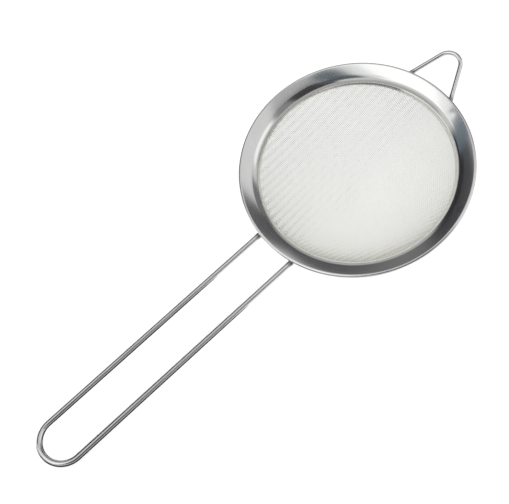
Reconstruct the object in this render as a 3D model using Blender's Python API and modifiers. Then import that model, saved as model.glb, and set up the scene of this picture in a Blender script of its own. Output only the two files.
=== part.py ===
"""A fine-mesh kitchen strainer with a long wire loop handle and a small wire rest ear.

Units are metres and +Z is up. The strainer lies as it rests by itself: the bottom of the bowl and the end
of the handle both touch the table at z = 0, the handle points along +X, and the origin is on the table
under the middle of the whole length. Every part is modelled in the rim's own frame, where z = 0 is the top
of the rim and the bowl hangs below it, and one parent empty tilts them all onto the table.
"""
import math

import bmesh
import bpy
from mathutils import Vector

# Rim band: one strip of sheet steel with a turned-down lip, a sloping flange, a fold and a steep collar
RIM_RADIUS = 0.070
SHEET = 0.0005
LIP_DROP = 0.0020
BEAD_RADIUS = 0.0009
FLANGE_SLOPE = math.radians(20.0)
FOLD_RADIUS = 0.0080
FOLD_AT = 0.0601
COLLAR_SLOPE = math.radians(60.0)
COLLAR_DROP = 0.0034

# Mesh bowl: the woven cloth as a shell, gripped between the collar and the backing ring
CLOTH = 0.0005
BOWL_DEPTH = 0.042
CLOTH_TOP = 0.0012

# Backing ring: a flat hoop of the same sheet behind the cloth
RING_TOP = 0.0013
RING_WIDTH = 0.0030

# Handle: one wire bent into a long U, a little to one side of the middle
HANDLE_WIRE = 0.0035
HANDLE_HALF_WIDTH = 0.01305
HANDLE_SIDE = 0.0004
HANDLE_REACH = 0.1719
HANDLE_DROP = 0.00384
HANDLE_PITCH = math.radians(7.04)
HANDLE_TAIL_X = 0.0615

# Rest ear: one shorter wire bent into a rounded V, welded a little off the handle's line
EAR_WIRE = 0.0029
EAR_TURN = math.radians(2.85)
EAR_PITCH = math.radians(12.0)
EAR_LEG_ANGLE = math.radians(23.5)
EAR_TIP = 0.0927
EAR_TIP_RADIUS = 0.0077
EAR_DROP = 0.00380
EAR_HINGE = 0.0683
EAR_TAIL = 0.0605

# Clearance between parts that touch on the real object
GAP = 0.0003

TURN_STEPS = 96
WIRE_SIDES = 3

STEEL_POLISHED = (0.74, 0.74, 0.73, 1.0)
STEEL_SATIN = (0.62, 0.62, 0.60, 1.0)
STEEL_CLOTH = (0.66, 0.66, 0.63, 1.0)
STEEL_WIRE = (0.70, 0.70, 0.69, 1.0)


def clear_scene():
    for ob in list(bpy.data.objects):
        bpy.data.objects.remove(ob, do_unlink=True)


def steel(name, colour, roughness):
    mat = bpy.data.materials.new(name)
    mat.use_nodes = True
    shader = mat.node_tree.nodes["Principled BSDF"]
    shader.inputs["Base Color"].default_value = colour
    shader.inputs["Metallic"].default_value = 1.0
    shader.inputs["Roughness"].default_value = roughness
    mat.diffuse_color = colour
    return mat


def rounded_path(corners, radii, step=math.radians(9.0)):
    """Points along a line of corners, each inner corner rounded to its radius by an arc."""
    points = [Vector(corners[0])]
    for before, here, after, radius in zip(corners, corners[1:], corners[2:], radii):
        here = Vector(here)
        back = (Vector(before) - here).normalized()
        ahead = (Vector(after) - here).normalized()
        half = back.angle(ahead) / 2.0
        sweep = math.pi - 2.0 * half
        centre = here + (back + ahead).normalized() * (radius / math.sin(half))
        inward = (here - centre).normalized()
        along = (ahead - back).normalized()
        count = max(2, math.ceil(sweep / step))
        for i in range(count + 1):
            angle = sweep * (i / count - 0.5)
            points.append(centre + (inward * math.cos(angle) + along * math.sin(angle)) * radius)
    points.append(Vector(corners[-1]))
    return points


def turned_shell(name, midline, thickness, parent, material):
    """A ring or bowl of sheet: an open midline in (radius, height), turned about Z and thickened."""
    mesh = bpy.data.meshes.new(name)
    bm = bmesh.new()
    verts = [bm.verts.new((radius, 0.0, height)) for radius, height in midline]
    for a, b in zip(verts, verts[1:]):
        bm.edges.new((a, b))
    bm.to_mesh(mesh)
    bm.free()
    ob = bpy.data.objects.new(name, mesh)
    screw = ob.modifiers.new("turn", "SCREW")
    screw.axis = "Z"
    screw.angle = 2.0 * math.pi
    screw.steps = TURN_STEPS
    screw.render_steps = TURN_STEPS
    screw.use_merge_vertices = True
    screw.merge_threshold = 0.00001
    screw.use_smooth_shade = True
    shell = ob.modifiers.new("sheet", "SOLIDIFY")
    shell.thickness = thickness
    shell.offset = 0.0
    shell.use_even_offset = True
    mesh.materials.append(material)
    ob.parent = parent
    return ob


def bent_wire(name, points, diameter, parent, material):
    """A round wire with flat ends along a list of points."""
    curve = bpy.data.curves.new(name, "CURVE")
    curve.dimensions = "3D"
    curve.bevel_depth = diameter / 2.0
    curve.bevel_resolution = WIRE_SIDES
    curve.use_fill_caps = True
    spline = curve.splines.new("POLY")
    spline.points.add(len(points) - 1)
    for place, point in zip(spline.points, points):
        place.co = (*point, 1.0)
    spline.use_smooth = True
    curve.materials.append(material)
    ob = bpy.data.objects.new(name, curve)
    ob.parent = parent
    return ob


# Heights and places that several parts share, all in the rim's frame

def flange_height(radius):
    """Height of the flange's mid surface at a radius."""
    start_radius = RIM_RADIUS - SHEET / 2.0 - BEAD_RADIUS * (1.0 + math.sin(FLANGE_SLOPE))
    start_height = -SHEET / 2.0 - BEAD_RADIUS * (1.0 - math.cos(FLANGE_SLOPE))
    return start_height - (start_radius - radius) * math.tan(FLANGE_SLOPE)


def collar_point(down, out):
    """A point beside the collar: so far down its slope from the fold, and so far out behind it."""
    radius = FOLD_AT - down / math.tan(COLLAR_SLOPE) + out * math.sin(COLLAR_SLOPE)
    height = flange_height(FOLD_AT) - down - out * math.cos(COLLAR_SLOPE)
    return (radius, height)


def cloth_sphere():
    """Radius of the bowl's mid surface and the height of its centre."""
    edge_radius, edge_height = collar_point(COLLAR_DROP, cloth_offset())
    bottom = -BOWL_DEPTH + CLOTH / 2.0
    rise = edge_height - bottom
    radius = (edge_radius ** 2 + rise ** 2) / (2.0 * rise)
    return radius, bottom + radius


def cloth_offset():
    """Distance from the collar's mid surface to the cloth's."""
    return SHEET / 2.0 + GAP + CLOTH / 2.0


def ring_offset():
    """Distance from the collar's mid surface to the backing ring's."""
    return cloth_offset() + CLOTH / 2.0 + GAP + SHEET / 2.0


def resting_tilt():
    """Tilt of the rim when the bowl and the handle's end both touch the table."""
    radius, centre = cloth_sphere()
    bowl = radius + CLOTH / 2.0
    end_x, end_z = handle_end()
    rise = end_z - centre
    distance = math.hypot(end_x, rise)
    return math.asin((bowl - HANDLE_WIRE / 2.0) / distance) + math.atan2(rise, end_x)


def handle_end():
    """The wire's centre at the far end of the loop: x and z."""
    return (RIM_RADIUS + HANDLE_REACH * math.cos(HANDLE_PITCH),
            -HANDLE_DROP + HANDLE_REACH * math.sin(HANDLE_PITCH))


def ear_height(reach):
    """Height of the ear's wire at a distance from the rim's axis."""
    return -EAR_DROP + (reach - EAR_HINGE) * math.tan(EAR_PITCH)


# Parts

def make_rim_band(parent):
    lip = RIM_RADIUS - SHEET / 2.0
    corners = [(lip, -LIP_DROP, 0.0), (lip, flange_height(lip), 0.0),
               (FOLD_AT, flange_height(FOLD_AT), 0.0), (*collar_point(COLLAR_DROP, 0.0), 0.0)]
    midline = [(p.x, p.y) for p in rounded_path(corners, (BEAD_RADIUS, FOLD_RADIUS), math.radians(10.0))]
    material = steel("polished_rim_steel", STEEL_POLISHED, 0.12)
    return turned_shell("rim_band", midline, SHEET, parent, material)


def make_mesh_bowl(parent):
    radius, centre = cloth_sphere()
    edge_radius, edge_height = collar_point(COLLAR_DROP, cloth_offset())
    edge_angle = math.atan2(edge_radius, centre - edge_height)
    midline = [collar_point(CLOTH_TOP, cloth_offset())]
    rows = 14
    for i in range(rows):
        angle = edge_angle * (1.0 - i / rows)
        midline.append((radius * math.sin(angle), centre - radius * math.cos(angle)))
    midline.append((0.0, centre - radius))
    material = steel("woven_steel_cloth", STEEL_CLOTH, 0.35)
    return turned_shell("mesh_bowl", midline, CLOTH, parent, material)


def make_backing_ring(parent):
    midline = [collar_point(RING_TOP + RING_WIDTH * part, ring_offset()) for part in (0.0, 0.5, 1.0)]
    material = steel("satin_ring_steel", STEEL_SATIN, 0.3)
    return turned_shell("backing_ring", midline, SHEET, parent, material)


def make_handle_loop(parent):
    """Each leg starts under the flange, beside the backing ring, and runs straight out below the lip."""
    tail_z = -HANDLE_DROP + (HANDLE_TAIL_X - RIM_RADIUS) * math.tan(HANDLE_PITCH)
    end_x, end_z = handle_end()
    w = HANDLE_HALF_WIDTH
    corners = [(HANDLE_TAIL_X, w, tail_z), (end_x, w, end_z)]
    corners += [(x, -y, z) for x, y, z in reversed(corners)]
    corners = [(x, y + HANDLE_SIDE, z) for x, y, z in corners]
    radii = (w * 0.999, w * 0.999)
    material = steel("bright_handle_wire", STEEL_WIRE, 0.15)
    return bent_wire("handle_loop", rounded_path(corners, radii), HANDLE_WIRE, parent, material)


def make_rest_ear(parent):
    """A V of wire on the -X side: its legs start under the flange and meet in a rounded tip."""
    apex = EAR_TIP - EAR_TIP_RADIUS + EAR_TIP_RADIUS / math.sin(EAR_LEG_ANGLE)
    spread = (apex - EAR_TAIL) * math.tan(EAR_LEG_ANGLE)
    corners = [(-EAR_TAIL, spread, ear_height(EAR_TAIL)), (-apex, 0.0, ear_height(apex)),
               (-EAR_TAIL, -spread, ear_height(EAR_TAIL))]
    material = steel("bright_ear_wire", STEEL_WIRE, 0.15)
    ob = bent_wire("rest_ear", rounded_path(corners, (EAR_TIP_RADIUS,)), EAR_WIRE, parent, material)
    ob.rotation_euler = (0.0, 0.0, EAR_TURN)
    return ob


def make_rim_frame():
    """The empty that carries every part: at the rim's centre, tilted so that the strainer rests."""
    tilt = resting_tilt()
    bowl_radius, bowl_centre = cloth_sphere()
    height = bowl_radius + CLOTH / 2.0 - bowl_centre * math.cos(tilt)
    end_x, end_z = handle_end()
    front = end_x * math.cos(tilt) + end_z * math.sin(tilt) + HANDLE_WIRE / 2.0
    ear_end = -EAR_TIP * math.cos(EAR_TURN)
    back = ear_end * math.cos(tilt) + ear_height(EAR_TIP) * math.sin(tilt) - EAR_WIRE / 2.0
    frame = bpy.data.objects.new("rim_frame", None)
    frame.location = (-(front + back) / 2.0, 0.0, height)
    frame.rotation_euler = (0.0, tilt, 0.0)
    return frame


def main():
    clear_scene()
    collection = bpy.data.collections.new("mesh_strainer")
    bpy.context.scene.collection.children.link(collection)
    frame = make_rim_frame()
    collection.objects.link(frame)
    makers = (make_rim_band, make_mesh_bowl, make_backing_ring, make_handle_loop, make_rest_ear)
    for make in makers:
        collection.objects.link(make(frame))


main()
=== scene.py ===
"""The finished look of a fine-mesh kitchen strainer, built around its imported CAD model.

Every piece is modelled in the rim's own frame, where z = 0 is the top of the rim, the bowl hangs below it
and the handle points along +X. That frame is read from the CAD rim band. Units are metres.
"""
import math

import bpy
import numpy as np
from mathutils import Matrix, Vector


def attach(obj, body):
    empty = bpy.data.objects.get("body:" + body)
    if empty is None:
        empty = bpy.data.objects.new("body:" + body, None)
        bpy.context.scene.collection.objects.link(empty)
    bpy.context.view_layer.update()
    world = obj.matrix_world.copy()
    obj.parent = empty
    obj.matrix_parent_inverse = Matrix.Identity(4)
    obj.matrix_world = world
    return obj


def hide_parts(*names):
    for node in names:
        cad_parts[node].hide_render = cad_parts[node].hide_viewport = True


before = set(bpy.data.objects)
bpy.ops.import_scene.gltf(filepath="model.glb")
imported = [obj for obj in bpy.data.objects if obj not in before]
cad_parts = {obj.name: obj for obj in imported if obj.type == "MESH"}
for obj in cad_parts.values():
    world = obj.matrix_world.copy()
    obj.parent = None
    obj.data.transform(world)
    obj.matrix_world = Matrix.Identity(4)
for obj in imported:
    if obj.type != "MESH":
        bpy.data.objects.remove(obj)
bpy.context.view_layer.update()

# Rim band
RIM_RADIUS = 0.070
SHEET = 0.0005
LIP_DROP = 0.0020
BEAD_RADIUS = 0.0009
FLANGE_SLOPE = math.radians(20.0)
FOLD_RADIUS = 0.0080
FOLD_AT = 0.0601
COLLAR_SLOPE = math.radians(60.0)
COLLAR_DROP = 0.0034
RIM_STEPS = 480
SHEET_SPACING = 0.0003
CROWN = 0.00008
CROWN_MIDDLE = 0.0650
CROWN_HALF_WIDTH = 0.0036
# Long waves round the rim: how many, where they start, and height; and how far the whole rim is set down
RIM_WAVES = (
    (3.0, 0.7, 0.00003),
    (7.0, 2.1, 0.00002),
)
RIM_SET_DOWN = 0.00005
# Tints that begin and end at a distance from the rim's axis: the duller collar, and painted shade on the
# wires, darkest where they run in under the rim's edge
DULL_COLLAR = (0.0606, 0.0592, (0.96, 0.95, 0.92, 1.0))
WIRE_SHADE_UNDER_RIM = (0.0732, 0.0706, (0.30, 0.29, 0.28, 1.0))
# Shallow dents and bumps: degrees round from +X, radius, size, height
DENTS = (
    (106.5, 0.0648, 0.0018, -0.00007),
    (163.0, 0.0650, 0.0022, 0.00005),
    (197.0, 0.0652, 0.0022, 0.00003),
)

# Woven cloth
CLOTH_WIRE = 0.00025
CLOTH_PITCH = 0.00100
CLOTH_SIDES = 6
CLOTH_SAMPLES = 3
CLOTH_GROUPS = 6
CLOTH_DARK = (0.64, 0.64, 0.60, 1.0)
CLOTH_BRIGHT = (0.985, 0.985, 0.93, 1.0)
# Faint stripes: broad ones on the -Y side and narrow ones on the other, which mix over a wandering middle
BROAD_STRIPES = 0.0041
BROAD_TURN = (math.radians(21.7), 0.0, 0.0)
BROAD_SHARPNESS = 1.7
NARROW_STRIPES = 0.0022
NARROW_TURN = (math.radians(21.7), 0.0, math.radians(20.0))
NARROW_STRENGTH = 0.35
NARROW_LEVEL = 0.45
STRIPE_SHARE = 0.80
MIDDLE_HALF_WIDTH = 0.012
MIDDLE_WANDER = 0.04
BOWL_DEPTH = 0.042
CLOTH_TOP = 0.0012

# Backing ring
RING_TOP = 0.0013
RING_WIDTH = 0.0030
RING_STEPS = 360

# Handle loop
HANDLE_WIRE = 0.0035
HANDLE_HALF_WIDTH = 0.01305
HANDLE_SIDE = 0.0004
HANDLE_REACH = 0.1719
HANDLE_DROP = 0.00384
HANDLE_PITCH = math.radians(7.04)
HANDLE_TAIL_X = 0.0615
HANDLE_SPACING = 0.0007
HANDLE_SOFTNESS = 0.0003

# Rest ear
EAR_WIRE = 0.0029
EAR_TURN = math.radians(2.85)
EAR_PITCH = math.radians(12.0)
EAR_LEG_ANGLE = math.radians(23.5)
EAR_TIP = 0.0927
EAR_TIP_RADIUS = 0.0077
EAR_DROP = 0.00380
EAR_HINGE = 0.0683
EAR_TAIL = 0.0605
EAR_SPACING = 0.0006
EAR_SOFTNESS = 0.00025

WIRE_SIDES = 32
GAP = 0.0003

# Welds: distance from the wire's end, and half length, half width and half height of a spot
WELD_INSET = 0.0022
WELD_SIZE = (0.0019, 0.0012, 0.0006)

# Camera
CAMERA_PLACE = (0.21183, 0.20622, 0.51998)
CAMERA_AZIMUTH = math.radians(45.282)
CAMERA_ELEVATION = math.radians(59.006)
CAMERA_ROLL = math.radians(1.205)
CAMERA_LENS = 70.73
SENSOR_WIDTH = 36.0


# Frame

def rim_matrix():
    """The rim's frame, from the ring of the CAD rim band: its axis is the direction of least spread."""
    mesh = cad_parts["rim_band"].data
    points = np.array([tuple(v.co) for v in mesh.vertices])
    centre = points.mean(axis=0)
    axes = np.linalg.eigh(np.cov((points - centre).T))[1]
    axis = axes[:, 0] * math.copysign(1.0, axes[2, 0])
    top = ((points - centre) @ axis).max()
    across = np.array((1.0, 0.0, 0.0)) - axis * axis[0]
    across /= np.linalg.norm(across)
    side = np.cross(axis, across)
    matrix = Matrix.Identity(4)
    for row in range(3):
        matrix[row][0] = across[row]
        matrix[row][1] = side[row]
        matrix[row][2] = axis[row]
        matrix[row][3] = centre[row] + axis[row] * top
    return matrix


RIM = rim_matrix()
RIM_PLACE = "rim_place"


# Mesh building

def add_piece(name, points, faces, material, replaced=None):
    """A piece from points in the rim's frame. Its mesh is put in the world and keeps those places too."""
    points = np.asarray(points, dtype=float)
    placed = points @ np.array(RIM)[:3, :3].T + np.array(RIM)[:3, 3]
    mesh = bpy.data.meshes.new(name)
    mesh.from_pydata(placed.tolist(), [], [tuple(f) for f in faces])
    mesh.shade_smooth()
    mesh.materials.append(material)
    places = mesh.attributes.new(RIM_PLACE, "FLOAT_VECTOR", "POINT")
    places.data.foreach_set("vector", points.astype(np.float32).ravel())
    ob = bpy.data.objects.new(name, mesh)
    bpy.context.scene.collection.objects.link(ob)
    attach(ob, "root")
    if replaced:
        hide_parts(replaced)
    return ob


def rounded_path(corners, radii, step):
    """Points along a line of corners, each inner corner rounded to its radius by an arc."""
    points = [Vector(corners[0])]
    for before, here, after, radius in zip(corners, corners[1:], corners[2:], radii):
        here = Vector(here)
        back = (Vector(before) - here).normalized()
        ahead = (Vector(after) - here).normalized()
        half = back.angle(ahead) / 2.0
        sweep = math.pi - 2.0 * half
        centre = here + (back + ahead).normalized() * (radius / math.sin(half))
        inward = (here - centre).normalized()
        along = (ahead - back).normalized()
        count = max(2, math.ceil(sweep / step))
        for i in range(count + 1):
            angle = sweep * (i / count - 0.5)
            points.append(centre + (inward * math.cos(angle) + along * math.sin(angle)) * radius)
    points.append(Vector(corners[-1]))
    return points


def spaced(points, spacing):
    """The same line with points at an even spacing."""
    points = np.array([tuple(p) for p in points])
    steps = np.linalg.norm(np.diff(points, axis=0), axis=1)
    length = np.concatenate(([0.0], np.cumsum(steps)))
    count = max(2, int(round(length[-1] / spacing)) + 1)
    places = np.linspace(0.0, length[-1], count)
    return np.stack([np.interp(places, length, points[:, k]) for k in range(points.shape[1])], axis=1)


def strip_outline(midline, thickness, hem_points=5):
    """Closed outline of a strip of sheet with rounded edges, round a midline in (radius, height)."""
    line = np.asarray(midline, dtype=float)
    ahead = np.gradient(line, axis=0)
    ahead /= np.linalg.norm(ahead, axis=1)[:, None]
    normal = np.stack((-ahead[:, 1], ahead[:, 0]), axis=1)
    half = thickness / 2.0
    turns = np.linspace(0.0, math.pi, hem_points + 2)[1:-1]
    end_cap = [line[-1] + half * (math.cos(t) * normal[-1] + math.sin(t) * ahead[-1]) for t in turns]
    start_cap = [line[0] + half * (-math.cos(t) * normal[0] - math.sin(t) * ahead[0]) for t in turns]
    sides = (line + half * normal, np.array(end_cap), (line - half * normal)[::-1], np.array(start_cap))
    return np.concatenate(sides)


def turned(outline, steps, wobble=None):
    """A closed outline in (radius, height) turned about Z."""
    angles = np.arange(steps) * (2.0 * math.pi / steps)
    radius = np.repeat(outline[None, :, 0], steps, axis=0)
    height = np.repeat(outline[None, :, 1], steps, axis=0)
    turn = np.repeat(angles[:, None], len(outline), axis=1)
    if wobble:
        radius, height = wobble(turn, radius, height)
    points = np.stack((radius * np.cos(turn), radius * np.sin(turn), height), axis=2).reshape(-1, 3)
    count = len(outline)
    i = np.arange(steps)[:, None]
    j = np.arange(count)[None, :]
    a = i * count + j
    b = ((i + 1) % steps) * count + j
    c = ((i + 1) % steps) * count + (j + 1) % count
    d = i * count + (j + 1) % count
    faces = np.stack((a, b, c, d), axis=2).reshape(-1, 4)
    return points, faces


def swept(line, normals, radius, sides):
    """Points and faces of a round wire along a line; normals say which way its first side faces."""
    ahead = np.gradient(line, axis=0)
    ahead /= np.linalg.norm(ahead, axis=1)[:, None]
    across = np.cross(ahead, normals)
    across /= np.linalg.norm(across, axis=1)[:, None]
    up = np.cross(across, ahead)
    turn = np.arange(sides) * (2.0 * math.pi / sides)
    radius = np.broadcast_to(np.asarray(radius, dtype=float), (len(line),))[:, None, None]
    ring = np.cos(turn)[None, :, None] * up[:, None, :] + np.sin(turn)[None, :, None] * across[:, None, :]
    points = (line[:, None, :] + ring * radius).reshape(-1, 3)
    i = np.arange(len(line) - 1)[:, None]
    j = np.arange(sides)[None, :]
    a = i * sides + j
    b = i * sides + (j + 1) % sides
    faces = np.stack((a, b, b + sides, a + sides), axis=2).reshape(-1, 4)
    return points, faces


def capped_wire(line, normal, diameter, sides, softness):
    """A wire with soft sheared ends: the last rings close in over a small distance."""
    line = np.asarray(line)
    ahead_start = line[1] - line[0]
    ahead_start /= np.linalg.norm(ahead_start)
    ahead_end = line[-1] - line[-2]
    ahead_end /= np.linalg.norm(ahead_end)
    turns = np.radians((8.0, 30.0, 55.0, 75.0, 90.0))
    start = [line[0] - ahead_start * softness * math.sin(t) for t in turns[::-1]]
    end = [line[-1] + ahead_end * softness * math.sin(t) for t in turns]
    full = np.concatenate((start, line, end))
    half = diameter / 2.0
    closing = np.array([half - softness * (1.0 - math.cos(t)) for t in turns])
    radii = np.concatenate((closing[::-1], np.full(len(line), half), closing))
    points, faces = swept(full, np.repeat(np.array([normal]), len(full), axis=0), radii, sides)
    faces = [tuple(f) for f in faces]
    faces.append(tuple(range(sides))[::-1])
    faces.append(tuple(range(len(points) - sides, len(points))))
    return points, faces


# Heights and places that several parts share

def flange_height(radius):
    """Height of the flange's mid surface at a radius."""
    start_radius = RIM_RADIUS - SHEET / 2.0 - BEAD_RADIUS * (1.0 + math.sin(FLANGE_SLOPE))
    start_height = -SHEET / 2.0 - BEAD_RADIUS * (1.0 - math.cos(FLANGE_SLOPE))
    return start_height - (start_radius - radius) * math.tan(FLANGE_SLOPE)


def collar_point(down, out):
    """A point beside the collar: so far down its slope from the fold, and so far out behind it."""
    radius = FOLD_AT - down / math.tan(COLLAR_SLOPE) + out * math.sin(COLLAR_SLOPE)
    height = flange_height(FOLD_AT) - down - out * math.cos(COLLAR_SLOPE)
    return (radius, height)


def cloth_offset():
    """Distance from the collar's mid surface to the cloth's."""
    return SHEET / 2.0 + GAP + CLOTH_WIRE


def ring_offset():
    """Distance from the collar's mid surface to the backing ring's."""
    return cloth_offset() + CLOTH_WIRE + GAP + SHEET / 2.0


def cloth_sphere():
    """Radius of the bowl's mid surface and the height of its centre."""
    edge_radius, edge_height = collar_point(COLLAR_DROP, cloth_offset())
    bottom = -BOWL_DEPTH + CLOTH_WIRE
    rise = edge_height - bottom
    radius = (edge_radius ** 2 + rise ** 2) / (2.0 * rise)
    return radius, bottom + radius


def handle_end():
    """The wire's centre at the far end of the loop: x and z."""
    return (RIM_RADIUS + HANDLE_REACH * math.cos(HANDLE_PITCH),
            -HANDLE_DROP + HANDLE_REACH * math.sin(HANDLE_PITCH))


def ear_height(reach):
    """Height of the ear's wire at a distance from the rim's axis."""
    return -EAR_DROP + (reach - EAR_HINGE) * math.tan(EAR_PITCH)


# Materials

def new_material(name):
    mat = bpy.data.materials.new(name)
    mat.use_nodes = True
    tree = mat.node_tree
    shader = tree.nodes["Principled BSDF"]
    shader.inputs["Metallic"].default_value = 1.0
    return mat, tree, shader


def add_node(tree, kind, **settings):
    node = tree.nodes.new(kind)
    for key, value in settings.items():
        if key in node.inputs:
            node.inputs[key].default_value = value
        else:
            setattr(node, key, value)
    return node


def maths(tree, operation, *values):
    node = tree.nodes.new("ShaderNodeMath")
    node.operation = operation
    for socket, value in zip(node.inputs, values):
        if isinstance(value, (int, float)):
            socket.default_value = value
        else:
            tree.links.new(value, socket)
    return node.outputs[0]


def rim_place(tree):
    """A point's place in the rim's frame."""
    return add_node(tree, "ShaderNodeAttribute", attribute_name=RIM_PLACE).outputs["Vector"]


def ring_coordinates(tree):
    """The place, and its radius and height only, in which a pattern makes fine circles."""
    place = rim_place(tree)
    split = add_node(tree, "ShaderNodeSeparateXYZ")
    flat = add_node(tree, "ShaderNodeCombineXYZ")
    length = add_node(tree, "ShaderNodeVectorMath", operation="LENGTH")
    both = add_node(tree, "ShaderNodeCombineXYZ")
    tree.links.new(place, split.inputs[0])
    tree.links.new(split.outputs["X"], flat.inputs["X"])
    tree.links.new(split.outputs["Y"], flat.inputs["Y"])
    tree.links.new(flat.outputs[0], length.inputs[0])
    tree.links.new(length.outputs["Value"], both.inputs["X"])
    tree.links.new(split.outputs["Z"], both.inputs["Z"])
    return place, both.outputs[0]


def wire_coordinates(tree):
    """The place, and the place much compressed along the wire, in which a pattern makes long fine lines."""
    place = rim_place(tree)
    drawn = add_node(tree, "ShaderNodeVectorMath", operation="MULTIPLY")
    tree.links.new(place, drawn.inputs[0])
    drawn.inputs[1].default_value = (0.03, 1.0, 1.0)
    return place, drawn.outputs[0]


def tinted_inside(tree, tone, start, end, tint):
    """A tone that is multiplied by a tint inside a distance from the rim's axis, and fades in before it."""
    split = add_node(tree, "ShaderNodeSeparateXYZ")
    tree.links.new(ring_coordinates(tree)[1], split.inputs[0])
    inside = add_node(tree, "ShaderNodeMapRange")
    inside.inputs["From Min"].default_value = start
    inside.inputs["From Max"].default_value = end
    tree.links.new(split.outputs["X"], inside.inputs["Value"])
    dull = add_node(tree, "ShaderNodeMix", data_type="RGBA", blend_type="MULTIPLY")
    tree.links.new(inside.outputs["Result"], dull.inputs[0])
    tree.links.new(tone, dull.inputs[6])
    dull.inputs[7].default_value = tint
    return dull.outputs[2]


def steel_material(name, low, high, rough_low, rough_high, lines, bump,
                   coordinates=ring_coordinates, inside=None):
    """Steel with fine lines of polishing or drawing and faint cloudy patches."""
    mat, tree, shader = new_material(name)
    place, circles = coordinates(tree)
    fine = add_node(tree, "ShaderNodeTexNoise", Scale=lines, Detail=3.0)
    tree.links.new(circles, fine.inputs["Vector"])
    cloud = add_node(tree, "ShaderNodeTexNoise", Scale=60.0, Detail=4.0)
    tree.links.new(place, cloud.inputs["Vector"])
    colour = add_node(tree, "ShaderNodeValToRGB")
    colour.color_ramp.elements[0].color = low
    colour.color_ramp.elements[1].color = high
    colour.color_ramp.elements[0].position = 0.3
    colour.color_ramp.elements[1].position = 0.7
    tree.links.new(cloud.outputs["Fac"], colour.inputs["Fac"])
    tone = colour.outputs["Color"]
    if inside:
        tone = tinted_inside(tree, tone, *inside)
    tree.links.new(tone, shader.inputs["Base Color"])
    rough = add_node(tree, "ShaderNodeMapRange")
    rough.inputs["From Min"].default_value = 0.3
    rough.inputs["From Max"].default_value = 0.7
    rough.inputs["To Min"].default_value = rough_low
    rough.inputs["To Max"].default_value = rough_high
    tree.links.new(fine.outputs["Fac"], rough.inputs["Value"])
    tree.links.new(rough.outputs["Result"], shader.inputs["Roughness"])
    relief = add_node(tree, "ShaderNodeBump", Strength=bump, Distance=0.00002)
    tree.links.new(fine.outputs["Fac"], relief.inputs["Height"])
    tree.links.new(relief.outputs["Normal"], shader.inputs["Normal"])
    return mat


def cloth_stripes(tree, place, period, turn):
    """Soft uneven stripes a few wires wide, where the weave lies a little closer or further apart."""
    turned_place = add_node(tree, "ShaderNodeMapping")
    turned_place.inputs["Rotation"].default_value = turn
    tree.links.new(place, turned_place.inputs["Vector"])
    wave = add_node(tree, "ShaderNodeTexWave", bands_direction="Y", wave_profile="SIN")
    wave.inputs["Scale"].default_value = 2.0 * math.pi / (20.0 * period)
    wave.inputs["Distortion"].default_value = 0.3
    wave.inputs["Detail"].default_value = 1.0
    wave.inputs["Detail Scale"].default_value = 0.3
    tree.links.new(turned_place.outputs["Vector"], wave.inputs["Vector"])
    return wave.outputs["Fac"]


def cloth_material():
    """Bright woven wire, faintly striped: broad stripes on one side, narrow ones on the other."""
    mat, tree, shader = new_material("woven_steel_cloth_fine")
    place = rim_place(tree)
    cloud = add_node(tree, "ShaderNodeTexNoise", Scale=90.0, Detail=3.0)
    tree.links.new(place, cloud.inputs["Vector"])
    patches = add_node(tree, "ShaderNodeTexNoise", Scale=28.0, Detail=1.0)
    tree.links.new(place, patches.inputs["Vector"])
    broad = maths(tree, "POWER", cloth_stripes(tree, place, BROAD_STRIPES, BROAD_TURN), BROAD_SHARPNESS)
    narrow = cloth_stripes(tree, place, NARROW_STRIPES, NARROW_TURN)
    split = add_node(tree, "ShaderNodeSeparateXYZ")
    tree.links.new(place, split.inputs[0])
    side = add_node(tree, "ShaderNodeMapRange")
    side.inputs["From Min"].default_value = -MIDDLE_HALF_WIDTH
    side.inputs["From Max"].default_value = MIDDLE_HALF_WIDTH
    uneven = maths(tree, "MULTIPLY_ADD", patches.outputs["Fac"], MIDDLE_WANDER, split.outputs["Y"])
    tree.links.new(maths(tree, "SUBTRACT", uneven, MIDDLE_WANDER / 2.0), side.inputs["Value"])
    stripes = add_node(tree, "ShaderNodeMix", data_type="FLOAT")
    tree.links.new(side.outputs["Result"], stripes.inputs[0])
    tree.links.new(broad, stripes.inputs[2])
    faint = maths(tree, "MULTIPLY_ADD", narrow, NARROW_STRENGTH, NARROW_LEVEL)
    tree.links.new(faint, stripes.inputs[3])
    clouds = maths(tree, "MULTIPLY", cloud.outputs["Fac"], 1.0 - STRIPE_SHARE)
    both = maths(tree, "MULTIPLY_ADD", stripes.outputs[0], STRIPE_SHARE, clouds)
    colour = add_node(tree, "ShaderNodeValToRGB")
    colour.color_ramp.elements[0].color = CLOTH_DARK
    colour.color_ramp.elements[1].color = CLOTH_BRIGHT
    colour.color_ramp.elements[0].position = 0.10
    colour.color_ramp.elements[1].position = 0.90
    tree.links.new(both, colour.inputs["Fac"])
    tree.links.new(colour.outputs["Color"], shader.inputs["Base Color"])
    shader.inputs["Roughness"].default_value = 0.60
    return mat


# Pieces

def rim_wobble(turn, radius, height):
    """Unevenness of a pressed rim: long low waves, a slight crown, and dents."""
    for count, start, rise in RIM_WAVES:
        height = height + rise * np.sin(count * turn + start)
    height = height - RIM_SET_DOWN
    across = np.clip((radius - CROWN_MIDDLE) / CROWN_HALF_WIDTH, -1.0, 1.0)
    height = height + CROWN * (1.0 - across ** 2)
    for degrees, middle, size, depth in DENTS:
        around = (turn - math.radians(degrees)) * middle / size
        height = height + depth * np.exp(-around ** 2 - ((radius - middle) / size) ** 2)
    return radius, height


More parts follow.
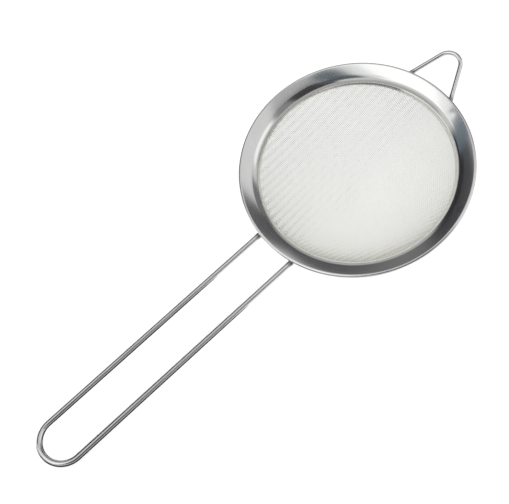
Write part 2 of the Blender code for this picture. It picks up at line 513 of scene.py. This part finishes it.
def make_rim():
    lip = RIM_RADIUS - SHEET / 2.0
    corners = [(lip, -LIP_DROP, 0.0), (lip, flange_height(lip), 0.0),
               (FOLD_AT, flange_height(FOLD_AT), 0.0), (*collar_point(COLLAR_DROP, 0.0), 0.0)]
    path = rounded_path(corners, (BEAD_RADIUS, FOLD_RADIUS), math.radians(4.0))
    midline = spaced([(p.x, p.y) for p in path], SHEET_SPACING)
    points, faces = turned(strip_outline(midline, SHEET), RIM_STEPS, rim_wobble)
    material = steel_material("polished_rim_steel_fine", (0.72, 0.72, 0.72, 1.0), (0.78, 0.78, 0.77, 1.0),
                              0.10, 0.18, 9000.0, 0.15, inside=DULL_COLLAR)
    return add_piece("rim_band_fine", points, faces, material, "rim_band")


def make_ring():
    start = collar_point(RING_TOP, ring_offset())
    end = collar_point(RING_TOP + RING_WIDTH, ring_offset())
    midline = spaced((start, end), SHEET_SPACING)
    points, faces = turned(strip_outline(midline, SHEET), RING_STEPS)
    material = steel_material("satin_ring_steel_fine", (0.58, 0.58, 0.57, 1.0), (0.66, 0.66, 0.64, 1.0),
                              0.26, 0.38, 7000.0, 0.3)
    return add_piece("backing_ring_fine", points, faces, material, "backing_ring")


def cloth_net(limit):
    """Directions from the bowl's centre to the crossings of the cloth, for one quarter of the net.

    The two middle wires lie on great circles. Every other crossing is the far corner of a rhombus of
    wires, which on a sphere is the near corner mirrored in the plane of the other two and the centre."""
    radius = cloth_sphere()[0]
    step = CLOTH_PITCH / radius
    count = int(limit / step) + 2
    net = np.full((count, count, 3), np.nan)
    for i in range(count):
        net[i, 0] = (math.sin(i * step), 0.0, -math.cos(i * step))
        net[0, i] = (0.0, math.sin(i * step), -math.cos(i * step))
    for i in range(1, count):
        for j in range(1, count):
            beside = net[i - 1, j]
            before = net[i, j - 1]
            near = net[i - 1, j - 1]
            if np.isnan(beside[0]) or np.isnan(before[0]):
                break
            if min(-beside[2], -before[2]) < math.cos(limit + 2.0 * step):
                break
            mirror = np.cross(beside, before)
            mirror /= np.linalg.norm(mirror)
            net[i, j] = near - 2.0 * np.dot(near, mirror) * mirror
    return net


def cloth_surface(directions, lift):
    """Points of the cloth over directions from the bowl's centre: a sphere, and a cone above its edge."""
    radius, centre = cloth_sphere()
    edge_radius, edge_height = collar_point(COLLAR_DROP, cloth_offset())
    edge = math.atan2(edge_radius, centre - edge_height)
    polar = np.arccos(np.clip(-directions[:, 2], -1.0, 1.0))
    turn = np.arctan2(directions[:, 1], directions[:, 0])
    above = np.maximum(polar - edge, 0.0) * radius
    inside = np.minimum(polar, edge)
    flat = radius * np.sin(inside) + above * math.cos(COLLAR_SLOPE)
    height = centre - radius * np.cos(inside) + above * math.sin(COLLAR_SLOPE)
    normal_out = np.where(above > 0.0, math.sin(COLLAR_SLOPE), np.sin(inside))
    normal_up = np.where(above > 0.0, -math.cos(COLLAR_SLOPE), -np.cos(inside))
    normals = np.stack((normal_out * np.cos(turn), normal_out * np.sin(turn), normal_up), axis=1)
    points = np.stack((flat * np.cos(turn), flat * np.sin(turn), height), axis=1)
    return points + normals * lift[:, None], normals


def cloth_wires(net, limit, across):
    """Every wire of one direction: its points and normals. Each wire passes over and under the others."""
    wires = []
    count = net.shape[0]
    for i in range(-count + 1, count):
        row = []
        for j in range(-count + 1, count):
            direction = net[abs(i), abs(j)] if not across else net[abs(j), abs(i)]
            x = math.copysign(1.0, i) if not across else math.copysign(1.0, j)
            y = math.copysign(1.0, j) if not across else math.copysign(1.0, i)
            row.append((direction[0] * x, direction[1] * y, direction[2]))
        row = np.array(row)
        good = ~np.isnan(row[:, 0])
        if good.sum() < 3:
            continue
        first = int(np.argmax(good))
        last = len(good) - 1 - int(np.argmax(good[::-1]))
        places = np.arange(first * CLOTH_SAMPLES, last * CLOTH_SAMPLES + 1) / CLOTH_SAMPLES
        index = np.arange(len(row))
        line = np.stack([np.interp(places, index[good], row[good, k]) for k in range(3)], axis=1)
        line /= np.linalg.norm(line, axis=1)[:, None]
        polar = np.arccos(np.clip(-line[:, 2], -1.0, 1.0))
        keep = polar <= limit
        if keep.sum() < 4:
            continue
        sign = (-1.0) ** (i + (1 if across else 0))
        lift = sign * CLOTH_WIRE / 2.0 * np.cos(math.pi * (places[keep] - (count - 1)))
        wires.append(cloth_surface(line[keep], lift))
    return wires


def make_cloth():
    radius, centre = cloth_sphere()
    edge_radius, edge_height = collar_point(COLLAR_DROP, cloth_offset())
    edge = math.atan2(edge_radius, centre - edge_height)
    limit = edge + (COLLAR_DROP - CLOTH_TOP) / math.sin(COLLAR_SLOPE) / radius
    net = cloth_net(limit)
    material = cloth_material()
    first = True
    for across, family in ((False, "warp"), (True, "weft")):
        wires = cloth_wires(net, limit, across)
        groups = np.array_split(np.arange(len(wires)), CLOTH_GROUPS)
        for number, group in enumerate(groups):
            points = []
            faces = []
            start = 0
            for k in group:
                line, normals = wires[k]
                p, f = swept(line, normals, CLOTH_WIRE / 2.0, CLOTH_SIDES)
                points.append(p)
                faces.append(f + start)
                start += len(p)
            name = f"mesh_{family}_{number + 1}"
            replaced = "mesh_bowl" if first else None
            add_piece(name, np.concatenate(points), np.concatenate(faces), material,
                      replaced)
            first = False


def make_handle():
    tail_z = -HANDLE_DROP + (HANDLE_TAIL_X - RIM_RADIUS) * math.tan(HANDLE_PITCH)
    end_x, end_z = handle_end()
    w = HANDLE_HALF_WIDTH
    corners = [(HANDLE_TAIL_X, w, tail_z), (end_x, w, end_z)]
    corners += [(x, -y, z) for x, y, z in reversed(corners)]
    corners = [(x, y + HANDLE_SIDE, z) for x, y, z in corners]
    radii = (w * 0.999, w * 0.999)
    line = spaced(rounded_path(corners, radii, math.radians(2.0)), HANDLE_SPACING)
    normal = (-math.sin(HANDLE_PITCH), 0.0, math.cos(HANDLE_PITCH))
    points, faces = capped_wire(line, normal, HANDLE_WIRE, WIRE_SIDES, HANDLE_SOFTNESS)
    # Painted shade: the wire's colour is darkened where it runs in under the rim's edge
    material = steel_material("bright_handle_wire_fine", (0.70, 0.70, 0.70, 1.0), (0.77, 0.77, 0.76, 1.0),
                              0.10, 0.20, 3000.0, 0.1, wire_coordinates, WIRE_SHADE_UNDER_RIM)
    return add_piece("handle_loop_fine", points, faces, material, "handle_loop")


def make_ear():
    apex = EAR_TIP - EAR_TIP_RADIUS + EAR_TIP_RADIUS / math.sin(EAR_LEG_ANGLE)
    spread = (apex - EAR_TAIL) * math.tan(EAR_LEG_ANGLE)
    corners = [(-EAR_TAIL, spread, ear_height(EAR_TAIL)), (-apex, 0.0, ear_height(apex)),
               (-EAR_TAIL, -spread, ear_height(EAR_TAIL))]
    path = rounded_path(corners, (EAR_TIP_RADIUS,), math.radians(3.0))
    turn = Matrix.Rotation(EAR_TURN, 4, "Z")
    line = spaced([turn @ p for p in path], EAR_SPACING)
    normal = turn @ Vector((math.sin(EAR_PITCH), 0.0, math.cos(EAR_PITCH)))
    points, faces = capped_wire(line, tuple(normal), EAR_WIRE, WIRE_SIDES, EAR_SOFTNESS)
    # Painted shade: the wire's colour is darkened where it runs in under the rim's edge
    material = steel_material("bright_ear_wire_fine", (0.70, 0.70, 0.70, 1.0), (0.77, 0.77, 0.76, 1.0),
                              0.10, 0.20, 3000.0, 0.1, wire_coordinates, WIRE_SHADE_UNDER_RIM)
    return add_piece("rest_ear_fine", points, faces, material, "rest_ear")


def weld_blob(place, along, up, seed):
    """A small uneven puddle of weld metal, longest along the wire."""
    length, width, height = WELD_SIZE
    along = Vector(along).normalized()
    up = Vector(up).normalized()
    across = up.cross(along)
    rings = 12
    around = 20
    points = [place + up * height]
    for i in range(1, rings):
        polar = math.pi * i / rings
        for j in range(around):
            turn = 2.0 * math.pi * j / around
            swell = 1.0 + 0.10 * math.sin(3.0 * turn + seed)
            swell += 0.06 * math.cos(5.0 * turn + 2.0 * polar + seed)
            flat = math.sin(polar) * swell
            points.append(place + along * (flat * math.cos(turn) * length)
                          + across * (flat * math.sin(turn) * width) + up * (math.cos(polar) * height))
    points.append(place - up * height)
    last = len(points) - 1
    faces = []
    for j in range(around):
        after = (j + 1) % around
        faces.append((0, 1 + j, 1 + after))
        for i in range(rings - 2):
            a = 1 + i * around
            faces.append((a + j, a + around + j, a + around + after, a + after))
        low = 1 + (rings - 2) * around
        faces.append((low + j, last, low + after))
    return [tuple(p) for p in points], faces


def make_welds():
    """Four spots of weld metal that join the legs of both wires to the underside of the flange."""
    spots = []
    slope = math.tan(HANDLE_PITCH)
    x = HANDLE_TAIL_X + WELD_INSET
    for side in (1.0, -1.0):
        y = side * HANDLE_HALF_WIDTH + HANDLE_SIDE
        z = -HANDLE_DROP + (x - RIM_RADIUS) * slope + HANDLE_WIRE / 2.0
        spots.append(("handle", side, Vector((x, y, z)), (1.0, 0.0, slope), "bright_handle_wire"))
    apex = EAR_TIP - EAR_TIP_RADIUS + EAR_TIP_RADIUS / math.sin(EAR_LEG_ANGLE)
    reach = EAR_TAIL + WELD_INSET
    turn = Matrix.Rotation(EAR_TURN, 3, "Z")
    for side in (1.0, -1.0):
        y = side * (apex - reach) * math.tan(EAR_LEG_ANGLE)
        place = turn @ Vector((-reach, y, ear_height(reach) + EAR_WIRE / 2.0))
        across = -side * math.sin(EAR_LEG_ANGLE)
        along = turn @ Vector((-math.cos(EAR_LEG_ANGLE), across, math.tan(EAR_PITCH)))
        spots.append(("ear", side, place, tuple(along), "bright_ear_wire"))
    material = steel_material("weld_steel_fine", (0.50, 0.49, 0.47, 1.0), (0.64, 0.62, 0.58, 1.0),
                              0.30, 0.45, 5000.0, 0.5, wire_coordinates)
    for number, (name, side, place, along, slot) in enumerate(spots):
        points, faces = weld_blob(place, along, (0.0, 0.0, 1.0), 1.7 * number)
        hand = "left" if side > 0.0 else "right"
        add_piece(f"{name}_weld_{hand}", points, faces, material)


# Studio

# Each card: azimuth, elevation, half width, half height and soft edge, all in degrees, and its colour
STUDIO_CARDS = (
    ("left_walls", -120.0, 16.0, 70.0, 32.0, 8.0, (0.11, 0.11, 0.115)),
    ("left_wall_glow", -112.0, 38.0, 10.0, 12.0, 12.0, (0.20, 0.20, 0.20)),
    ("left_low_glow", -130.0, 6.0, 35.0, 17.0, 14.0, (0.55, 0.55, 0.55)),
    ("handle_wall", -156.0, 50.0, 12.0, 15.0, 8.0, (0.11, 0.11, 0.115)),
    ("handle_wall_low", 178.0, 34.0, 12.0, 16.0, 8.0, (0.20, 0.20, 0.20)),
    ("right_wall", -82.0, 26.0, 21.0, 22.0, 6.0, (0.070, 0.070, 0.075)),
    ("right_wall_low", -76.0, 17.0, 22.0, 20.0, 6.0, (0.035, 0.035, 0.04)),
    ("far_wall", 78.0, 79.0, 33.0, 5.0, 4.0, (0.52, 0.52, 0.52)),
    ("far_wall_bright", 152.0, 70.0, 38.0, 12.0, 6.0, (0.80, 0.80, 0.80)),
    ("low_front", 60.0, 8.0, 95.0, 14.0, 8.0, (0.48, 0.48, 0.47)),
    ("back_strip", 134.0, 44.0, 20.0, 12.0, 6.0, (1.15, 1.15, 1.15)),
    ("beside_camera", 99.0, 51.0, 11.0, 24.0, 6.0, (0.28, 0.28, 0.28)),
    ("behind_camera", 68.0, 50.0, 20.0, 24.0, 5.0, (0.055, 0.055, 0.055)),
    ("big_softbox", -20.0, 57.0, 31.0, 20.0, 10.0, (1.38, 1.38, 1.36)),
    ("softbox_left_end", -46.0, 50.0, 5.0, 18.0, 5.0, (1.05, 1.05, 1.04)),
    ("softbox_right_end", 8.0, 60.0, 7.0, 16.0, 6.0, (0.90, 0.91, 0.92)),
    ("softbox_edge", -58.0, 38.0, 6.0, 20.0, 3.0, (0.15, 0.19, 0.23)),
    ("photographer", 31.0, 69.0, 13.0, 9.0, 4.0, (0.10, 0.13, 0.15)),
    ("photographer_low", 40.0, 50.0, 18.0, 12.0, 6.0, (0.11, 0.12, 0.13)),
    ("above_camera", 0.0, 90.0, 181.0, 5.0, 4.0, (0.20, 0.20, 0.20)),
)
BASE_LIGHT = (0.70, 0.70, 0.70)
OVERHEAD_LIGHT = (0.9, 0.9, 0.9)
OVERHEAD_FROM = 74.0
OVERHEAD_TO = 82.0
BACKDROP = (1.0, 1.0, 1.0)
FLOOR_GLOW = 0.80
FLOOR_HALF_WIDTH = 20.0
FLOOR_DARK = (0.54, 0.54, 0.54, 1.0)
FLOOR_BRIGHT = (0.56, 0.56, 0.56, 1.0)
# One black card on the floor beside the handle: lowest and highest x, then y
FLAG = (0.020, 0.600, -0.010, 0.600)
FLAG_HEIGHT = 0.0003


def smooth_step(tree, value, low, high):
    """1 below low, 0 above high and smooth between."""
    node = add_node(tree, "ShaderNodeMapRange", interpolation_type="SMOOTHSTEP")
    node.inputs["From Min"].default_value = low
    node.inputs["From Max"].default_value = high
    node.inputs["To Min"].default_value = 1.0
    node.inputs["To Max"].default_value = 0.0
    tree.links.new(value, node.inputs["Value"])
    return node.outputs["Result"]


def mix_colour(tree, below, colour, mask, label):
    """A colour laid over what is below it, where the mask lets it."""
    node = add_node(tree, "ShaderNodeMix", data_type="RGBA", label=label)
    tree.links.new(mask, node.inputs[0])
    tree.links.new(below, node.inputs[6])
    node.inputs[7].default_value = (*colour, 1.0)
    return node.outputs[2]


def make_world():
    """A soft studio: an even light, one large light overhead, and bright and dark cards laid over both."""
    world = bpy.data.worlds.new("soft_studio")
    bpy.context.scene.world = world
    world.use_nodes = True
    tree = world.node_tree
    tree.nodes.clear()
    place = add_node(tree, "ShaderNodeTexCoord")
    split = add_node(tree, "ShaderNodeSeparateXYZ")
    tree.links.new(place.outputs["Generated"], split.inputs[0])
    azimuth = maths(tree, "DEGREES", maths(tree, "ARCTAN2", split.outputs["Y"], split.outputs["X"]))
    elevation = maths(tree, "DEGREES", maths(tree, "ARCSINE", split.outputs["Z"]))
    base = add_node(tree, "ShaderNodeRGB")
    base.outputs[0].default_value = (*BASE_LIGHT, 1.0)
    below = maths(tree, "SUBTRACT", 90.0, elevation)
    mask = smooth_step(tree, below, 90.0 - OVERHEAD_TO, 90.0 - OVERHEAD_FROM)
    colour = mix_colour(tree, base.outputs[0], OVERHEAD_LIGHT, mask, "overhead")
    for name, az, el, half_width, half_height, soft, tone in STUDIO_CARDS:
        around = maths(tree, "WRAP", maths(tree, "SUBTRACT", azimuth, az), 180.0, -180.0)
        side = maths(tree, "ABSOLUTE", around)
        up = maths(tree, "ABSOLUTE", maths(tree, "SUBTRACT", elevation, el))
        mask_side = smooth_step(tree, side, half_width - soft / 2.0, half_width + soft / 2.0)
        mask_up = smooth_step(tree, up, half_height - soft / 2.0, half_height + soft / 2.0)
        mask = maths(tree, "MULTIPLY", mask_side, mask_up)
        colour = mix_colour(tree, colour, tone, mask, name)
    path = add_node(tree, "ShaderNodeLightPath")
    colour = mix_colour(tree, colour, BACKDROP, path.outputs["Is Camera Ray"], "backdrop")
    background = add_node(tree, "ShaderNodeBackground")
    tree.links.new(colour, background.inputs["Color"])
    output = add_node(tree, "ShaderNodeOutputWorld")
    tree.links.new(background.outputs[0], output.inputs["Surface"])
    return world


def lay_on_floor(name, material, low_x, high_x, low_y, high_y, height):
    """A flat rectangle of the studio at a height."""
    corners = ((low_x, low_y), (high_x, low_y), (high_x, high_y), (low_x, high_y))
    mesh = bpy.data.meshes.new(name)
    mesh.from_pydata([(x, y, height) for x, y in corners], [], [(0, 1, 2, 3)])
    mesh.materials.append(material)
    ob = bpy.data.objects.new(name, mesh)
    bpy.context.scene.collection.objects.link(ob)
    return ob


def make_flag():
    """A black card on the floor. Only reflections see it, as the dark lines in bright steel."""
    mat = bpy.data.materials.new("black_card")
    mat.use_nodes = True
    shader = mat.node_tree.nodes["Principled BSDF"]
    shader.inputs["Base Color"].default_value = (0.03, 0.03, 0.03, 1.0)
    shader.inputs["Roughness"].default_value = 0.9
    flag = lay_on_floor("flag_beside_handle", mat, *FLAG, FLAG_HEIGHT)
    flag.visible_camera = False
    flag.visible_diffuse = False
    flag.visible_shadow = False
    return flag


def make_floor():
    """A plain pale floor with hardly visible clouds. A glow of its own keeps it white."""
    mat = bpy.data.materials.new("pale_floor")
    mat.use_nodes = True
    tree = mat.node_tree
    shader = tree.nodes["Principled BSDF"]
    shader.inputs["Roughness"].default_value = 0.9
    shader.inputs["Specular IOR Level"].default_value = 0.1
    cloud = add_node(tree, "ShaderNodeTexNoise", Scale=8.0, Detail=4.0)
    place = add_node(tree, "ShaderNodeTexCoord")
    tree.links.new(place.outputs["Object"], cloud.inputs["Vector"])
    colour = add_node(tree, "ShaderNodeValToRGB")
    colour.color_ramp.elements[0].color = FLOOR_DARK
    colour.color_ramp.elements[1].color = FLOOR_BRIGHT
    tree.links.new(cloud.outputs["Fac"], colour.inputs["Fac"])
    tree.links.new(colour.outputs["Color"], shader.inputs["Base Color"])
    shader.inputs["Emission Color"].default_value = (1.0, 1.0, 1.0, 1.0)
    shader.inputs["Emission Strength"].default_value = FLOOR_GLOW
    half = FLOOR_HALF_WIDTH
    return lay_on_floor("floor", mat, -half, half, -half, half, 0.0)


def make_camera():
    """A camera at CAMERA_PLACE that looks down from its azimuth and elevation, a little rolled."""
    flat = math.cos(CAMERA_ELEVATION)
    level = Vector((-math.sin(CAMERA_AZIMUTH), math.cos(CAMERA_AZIMUTH), 0.0))
    back = Vector((flat * level.y, -flat * level.x, math.sin(CAMERA_ELEVATION)))
    right = level * math.cos(CAMERA_ROLL) + back.cross(level) * math.sin(CAMERA_ROLL)
    up = back.cross(right)
    matrix = Matrix((right, up, back)).transposed().to_4x4()
    matrix.translation = CAMERA_PLACE
    data = bpy.data.cameras.new("camera")
    data.lens = CAMERA_LENS
    data.sensor_fit = "HORIZONTAL"
    data.sensor_width = SENSOR_WIDTH
    data.clip_start = 0.01
    data.clip_end = 100.0
    camera = bpy.data.objects.new("camera", data)
    camera.matrix_world = matrix
    bpy.context.scene.collection.objects.link(camera)
    bpy.context.scene.camera = camera
    return camera


make_rim()
make_ring()
make_cloth()
make_handle()
make_ear()
make_welds()
make_world()
make_floor()
make_flag()
make_camera()
bpy.context.scene.view_settings.view_transform = "Standard"
